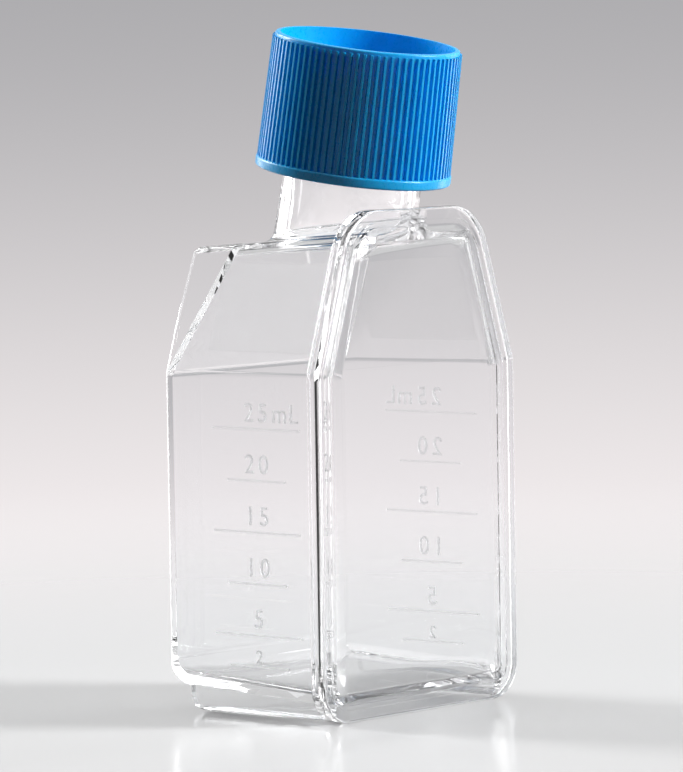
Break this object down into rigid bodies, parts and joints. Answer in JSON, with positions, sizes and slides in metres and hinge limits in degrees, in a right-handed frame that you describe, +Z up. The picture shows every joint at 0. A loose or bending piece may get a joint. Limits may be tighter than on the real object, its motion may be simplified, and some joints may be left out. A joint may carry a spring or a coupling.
{
  "type": "cell culture flask",
  "caption": "Small clear upright cell culture flask with a tapered shoulder, a window plate, a tilted neck and a ribbed blue vented screw cap.",
  "frame": {"origin": "middle of the flask's footprint on the table, under the middle of its overall depth", "axes": "+Z up along the standing flask to its neck; -Y out of the window plate, the side the neck leans to; +Y out of the growth wall; +X to the right when looking at the window"},
  "size_m": [0.0381, 0.0322, 0.0848],
  "materials": {
    "clear_polystyrene": "clear moulded polystyrene, glossy, with frosted writing patches on the tapered facets",
    "blue_polyethylene": "blue moulded polyethylene, satin gloss, finely ribbed skirt",
    "white_membrane": "white porous film"
  },
  "bodies": {
    "flask": {"flask_body": "clear_polystyrene", "window_plate": "clear_polystyrene"},
    "seal": {"vent_membrane": "white_membrane"},
    "cap": {"screw_cap": "blue_polyethylene"}
  },
  "joints": [
    {"name": "cap_lift", "type": "slide", "parent": "flask", "child": "seal", "axis": [0, -0.1668, 0.986], "range_m": [0, 0.0048]},
    {"name": "cap_turn", "type": "hinge", "parent": "seal", "child": "cap", "pos_m": [0, -0.0017, 0.06639], "axis": [0, -0.1668, 0.986], "range_deg": [0, 540]}
  ],
  "couplings": [
    {"joint": "cap_lift", "follows": "cap_turn", "m_per_rad": 0.0005093}
  ]
}
